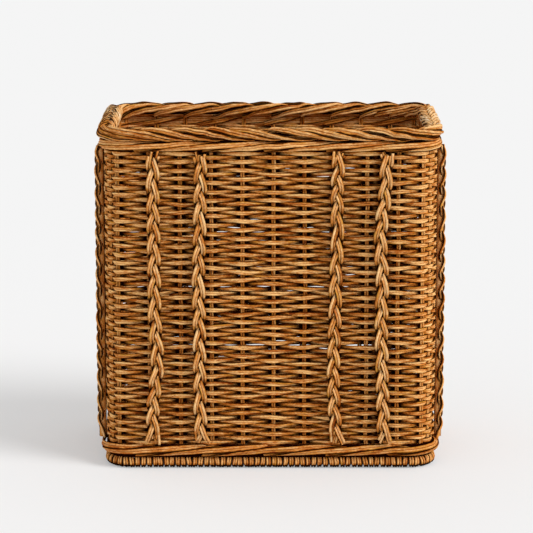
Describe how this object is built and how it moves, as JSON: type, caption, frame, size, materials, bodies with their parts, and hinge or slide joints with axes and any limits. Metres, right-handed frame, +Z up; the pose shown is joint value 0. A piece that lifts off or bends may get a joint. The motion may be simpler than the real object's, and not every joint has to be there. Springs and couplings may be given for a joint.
{
  "type": "magazine basket",
  "caption": "Upright woven rattan basket with rounded corners, open at the top, with a plaited rim, upright braids on its walls and a bound foot.",
  "frame": {"origin": "on the floor, under the middle of the basket", "axes": "+X along the basket's width to the right, +Y towards its back, +Z up; the front faces -Y"},
  "size_m": [0.3596, 0.2136, 0.352],
  "materials": {
    "stake": "natural rattan, semi-matt",
    "weaver": "natural rattan, satin",
    "braid": "natural rattan, satin",
    "border": "natural rattan, satin",
    "foot": "natural rattan, semi-matt"
  },
  "bodies": {
    "root": {"across_stake_1": "stake", "across_stake_2": "stake", "across_stake_3": "stake", "across_stake_4": "stake", "across_stake_5": "stake", "across_stake_6": "stake", "across_stake_7": "stake", "across_stake_8": "stake", "across_stake_9": "stake", "along_stake_1": "stake", "along_stake_2": "stake", "along_stake_3": "stake", "along_stake_4": "stake", "corner_stake_front_right_1": "stake", "corner_stake_front_right_2": "stake", "corner_stake_front_right_3": "stake", "corner_stake_back_right_1": "stake", "corner_stake_back_right_2": "stake", "corner_stake_back_right_3": "stake", "corner_stake_back_left_1": "stake", "corner_stake_back_left_2": "stake", "corner_stake_back_left_3": "stake", "corner_stake_front_left_1": "stake", "corner_stake_front_left_2": "stake", "corner_stake_front_left_3": "stake", "foot_hoop": "foot", "foot_binding": "foot", "base_weave": "weaver", "foot_wale": "border", "wall_weave": "weaver", "rim_wale": "border", "rim_border": "border", "braid_front_1": "braid", "braid_front_2": "braid", "braid_front_3": "braid", "braid_front_4": "braid", "braid_right_1": "braid", "braid_right_2": "braid", "braid_back_1": "braid", "braid_back_2": "braid", "braid_back_3": "braid", "braid_back_4": "braid", "braid_left_1": "braid", "braid_left_2": "braid"}
  },
  "joints": []
}
